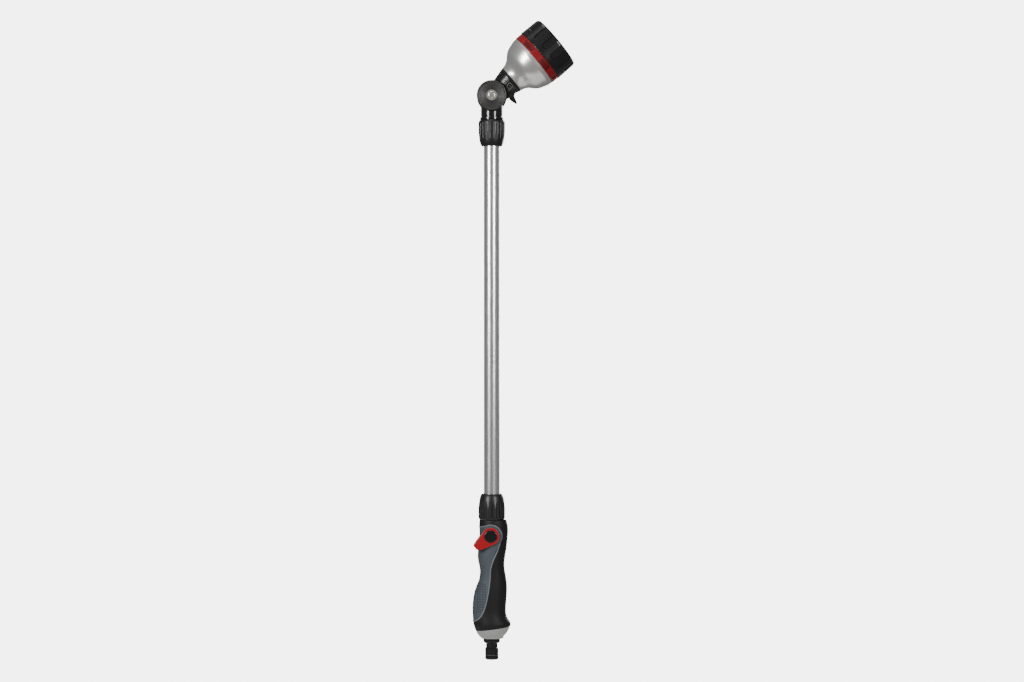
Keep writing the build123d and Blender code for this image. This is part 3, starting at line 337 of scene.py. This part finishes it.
def panel_bead(sign):
    """Where the panel's edge lies on one side of the grip."""
    found = []
    for x, z in smooth_path(panel_edge, EDGE_STEPS):
        start = Vector((HUB.x + x, sign * RAY_START, HUB.z + z))
        hit, normal, _, _ = grip_tree.ray_cast(start, Vector((0, -sign, 0)))
        if hit is not None and abs(hit.y) > BEAD_LEAST_Y:
            found.append((hit, normal))
    return found


def thumb_side_link(first, second):
    """Points round the thumb side between two ends of the bead."""
    found = []
    for k in range(1, LINK_STEPS):
        between_ends = first.lerp(second, k / LINK_STEPS)
        start = Vector((-RAY_START, between_ends.y, between_ends.z))
        hit, normal, _, _ = grip_tree.ray_cast(start, Vector((1, 0, 0)))
        if hit is not None:
            found.append((hit, normal))
    return found


front, back = panel_bead(-1), panel_bead(1)
loop = front + thumb_side_link(front[-1][0], back[-1][0])
loop += back[::-1] + thumb_side_link(back[0][0], front[0][0])
bead_path = [point - normal * BEAD_SINK for point, normal in loop]
# The raised bead is real geometry; its lighter grey is a painted highlight.
tube_along("grip_panel_bead", bead_path, BEAD_RADIUS, "painted_highlight_bead", "wand", closed=True, sides=BEAD_SIDES)


# ---------------------------------------------------------------- pattern marks on the index ring

ring_points = [v.co - PIVOT for v in frame["nodes"]["index_ring"].data.vertices]
RING_RADIUS = max((v - HEAD * v.dot(HEAD)).length for v in ring_points)
RING_FOOT = min(v.dot(HEAD) for v in ring_points)
RING_TOP = max(v.dot(HEAD) for v in ring_points)
RING_BAND = RING_TOP - RING_FOOT
MARK_SINK, MARK_LIFT = 0.0001, 0.00012
MARK_FOOT = RING_FOOT + RING_BAND * 0.16
MARK_HEIGHT = RING_BAND * 0.66
FIRST_MARK = -27  # degrees round the ring from its front


def on_ring(around, along, radius):
    """A point at an arc length round the ring from its front, and a distance up the head's axis."""
    turn = around / RING_RADIUS - pi / 2
    return PIVOT + HEAD * along + (ACROSS * cos(turn) + SIDE * sin(turn)) * radius


def bar(bm, here, width, low, tall, lean=0.0):
    """A raised upright bar. It stands low up the mark and is tall, both as shares of the mark's height."""
    left, right = here - width / 2, here + width / 2
    foot, top = MARK_FOOT + low * MARK_HEIGHT, MARK_FOOT + (low + tall) * MARK_HEIGHT
    corners = [(left, foot), (right, foot), (right + lean, top), (left + lean, top)]
    inner = [bm.verts.new(on_ring(u, v, RING_RADIUS - MARK_SINK)) for u, v in corners]
    outer = [bm.verts.new(on_ring(u, v, RING_RADIUS + MARK_LIFT)) for u, v in corners]
    bm.faces.new(outer)
    bm.faces.new(inner[::-1])
    for k in range(4):
        bm.faces.new((inner[k], inner[(k + 1) % 4], outer[(k + 1) % 4], outer[k]))


def fan(bm, here):
    """Rays that spread outwards."""
    pitch, width, lean = 0.0019, 0.0013, 0.0009
    for k in range(-3, 4):
        bar(bm, here + k * pitch, width, 0.0, 1.0, k * lean)


def shower(bm, here):
    """Rows of drops."""
    pitch, width, row_pitch, drop = 0.0025, 0.0017, 0.36, 0.26
    for k in range(6):
        for row in range(3):
            bar(bm, here + (k - 2.5) * pitch, width, row * row_pitch, drop)


def jet(bm, here):
    """One nozzle and its stream."""
    bar(bm, here - 0.005, 0.003, 0.1, 0.8)
    bar(bm, here + 0.0025, 0.010, 0.3, 0.4)


def flat_sheet(bm, here):
    """Close upright rays."""
    pitch, width = 0.0022, 0.0014
    for k in range(-3, 4):
        bar(bm, here + k * pitch, width, 0.0, 1.0)


def cone(bm, here):
    """Rays that grow shorter to both sides."""
    pitch, width, step = 0.003, 0.002, 0.14
    for k in range(-2, 3):
        bar(bm, here + k * pitch, width, step * abs(k), 1 - 2 * step * abs(k))


def mist(bm, here):
    """Short drops, high and low by turns."""
    pitch, width, low, rise, drop = 0.0019, 0.0013, 0.1, 0.5, 0.34
    for k in range(8):
        bar(bm, here + (k - 3.5) * pitch, width, low + rise * (k % 2), drop)


def soft_stream(bm, here):
    """Wide strokes that grow narrower upwards."""
    width, narrowing, row_pitch, stroke = 0.014, 0.003, 0.38, 0.24
    for k in range(3):
        bar(bm, here, width - narrowing * k, k * row_pitch, stroke)


PATTERNS = [fan, shower, jet, flat_sheet, cone, mist, soft_stream]
for number, pattern in enumerate(PATTERNS):
    bm = bmesh.new()
    pattern(bm, RING_RADIUS * radians(FIRST_MARK + number * 360 / len(PATTERNS)))
    solid(f"pattern_mark_{number + 1}", bm, "mark_ink", "dial", smooth=False)


# ---------------------------------------------------------------- raised signs on the neck

# Places are (across, along) the head's axis from the pivot.
TILT_SIGN, LOCK_SIGN = -0.0024, 0.0058
SIGN_HALF, SIGN_LOW, SIGN_HIGH = 0.0028, 0.0205, 0.0262
ARROW_HALF, ARROW_LOW, ARROW_HIGH = 0.0015, 0.0222, 0.0246
BAR_HALF, BAR_AT = 0.0012, 0.0233
LINE_RADIUS, LINE_SINK, LINE_SIDES, LINE_STEPS = 0.00045, 0.0001, 8, 4

neck_tree = surface_tree("head_neck")


def neck_point(across, along):
    """A point just under the neck's front, from its place across and along the head's axis."""
    start = PIVOT + ACROSS * across + HEAD * along - SIDE * RAY_START
    hit, normal, _, _ = neck_tree.ray_cast(start, SIDE)
    return hit - normal * LINE_SINK


def ridge(name, corners, closed=True):
    """A thin raised line on the neck through its corners."""
    path = []
    ends = corners[1:] + corners[:1] if closed else corners[1:]
    for (u, v), (p, q) in zip(corners, ends):
        shares = [k / LINE_STEPS for k in range(LINE_STEPS)]
        path += [neck_point(u + (p - u) * share, v + (q - v) * share) for share in shares]
    if not closed:
        path.append(neck_point(*corners[-1]))
    tube_along(name, path, LINE_RADIUS, "sign_grey", "head", closed, LINE_SIDES)


for name, middle in (("tilt_sign", TILT_SIGN), ("lock_sign", LOCK_SIGN)):
    low, high = middle - SIGN_HALF, middle + SIGN_HALF
    ridge(f"{name}_frame", [(low, SIGN_LOW), (high, SIGN_LOW), (high, SIGN_HIGH), (low, SIGN_HIGH)])
arrow_feet = [(TILT_SIGN - ARROW_HALF, ARROW_LOW), (TILT_SIGN + ARROW_HALF, ARROW_LOW)]
ridge("tilt_sign_arrow", [arrow_feet[0], (TILT_SIGN, ARROW_HIGH), arrow_feet[1]], closed=False)
ridge("lock_sign_bar", [(LOCK_SIGN - BAR_HALF, BAR_AT), (LOCK_SIGN + BAR_HALF, BAR_AT)], closed=False)


# ---------------------------------------------------------------- stage, light and camera

FLOOR_RADIUS, FLOOR_HEIGHT, FLOOR_SIDES = 0.55, -0.14, 96


def make_floor():
    """A round pale floor, some way under the wand."""
    mesh = bpy.data.meshes.new("floor")
    bm = bmesh.new()
    bmesh.ops.create_circle(bm, cap_ends=True, radius=FLOOR_RADIUS, segments=FLOOR_SIDES)
    bm.to_mesh(mesh)
    bm.free()
    mesh.materials.append(MATERIALS["floor"])
    made = bpy.data.objects.new("floor", mesh)
    made.location = (0, 0, FLOOR_HEIGHT)
    bpy.context.scene.collection.objects.link(made)
    return made


make_floor()

# The surroundings light the object softly, and look plain and pale behind it.
BACKDROP_STRENGTH, SOFT_STRENGTH = 5.5, 0.26

world = bpy.data.worlds.new("studio")
bpy.context.scene.world = world
world.use_nodes = True
sky = world.node_tree
seen, soft = sky.nodes["Background"], sky.nodes.new("ShaderNodeBackground")
for background, strength in ((seen, BACKDROP_STRENGTH), (soft, SOFT_STRENGTH)):
    background.inputs["Color"].default_value = (1, 1, 1, 1)
    background.inputs["Strength"].default_value = strength
paths, either = sky.nodes.new("ShaderNodeLightPath"), sky.nodes.new("ShaderNodeMixShader")
sky.links.new(paths.outputs["Is Camera Ray"], either.inputs["Fac"])
sky.links.new(soft.outputs["Background"], either.inputs[1])
sky.links.new(seen.outputs["Background"], either.inputs[2])
sky.links.new(either.outputs["Shader"], sky.nodes["World Output"].inputs["Surface"])


def lamp(name, place, target, size, power):
    """A rectangular lamp that faces its target."""
    data = bpy.data.lights.new(name, "AREA")
    data.shape = "RECTANGLE"
    data.size, data.size_y = size
    data.energy = power
    made = bpy.data.objects.new(name, data)
    made.location = place
    made.rotation_euler = (target - Vector(place)).to_track_quat("-Z", "Y").to_euler()
    bpy.context.scene.collection.objects.link(made)


CENTRE = Vector((0.025, 0, 0.382))
UPPER_TUBE = CENTRE + Vector((0, 0, 0.3))
lamp("key", (-1.25, -1.5, 1.0), UPPER_TUBE, size=(0.34, 1.0), power=56)
lamp("fill", (1.15, -1.65, 1.0), UPPER_TUBE, size=(0.26, 1.0), power=40)
lamp("top", (-0.2, -0.2, 2.2), CENTRE, size=(0.9, 0.9), power=16)
lamp("back", (1.0, 1.9, 0.9), CENTRE, size=(0.6, 1.3), power=22)

camera_data = bpy.data.cameras.new("camera")
camera_data.lens = 90
camera_data.sensor_width = 36
camera = bpy.data.objects.new("camera", camera_data)
bpy.context.scene.collection.objects.link(camera)
camera.location = (0.0243, -3.072, 0.382)
camera.rotation_euler = (radians(90), 0, 0)
bpy.context.scene.camera = camera
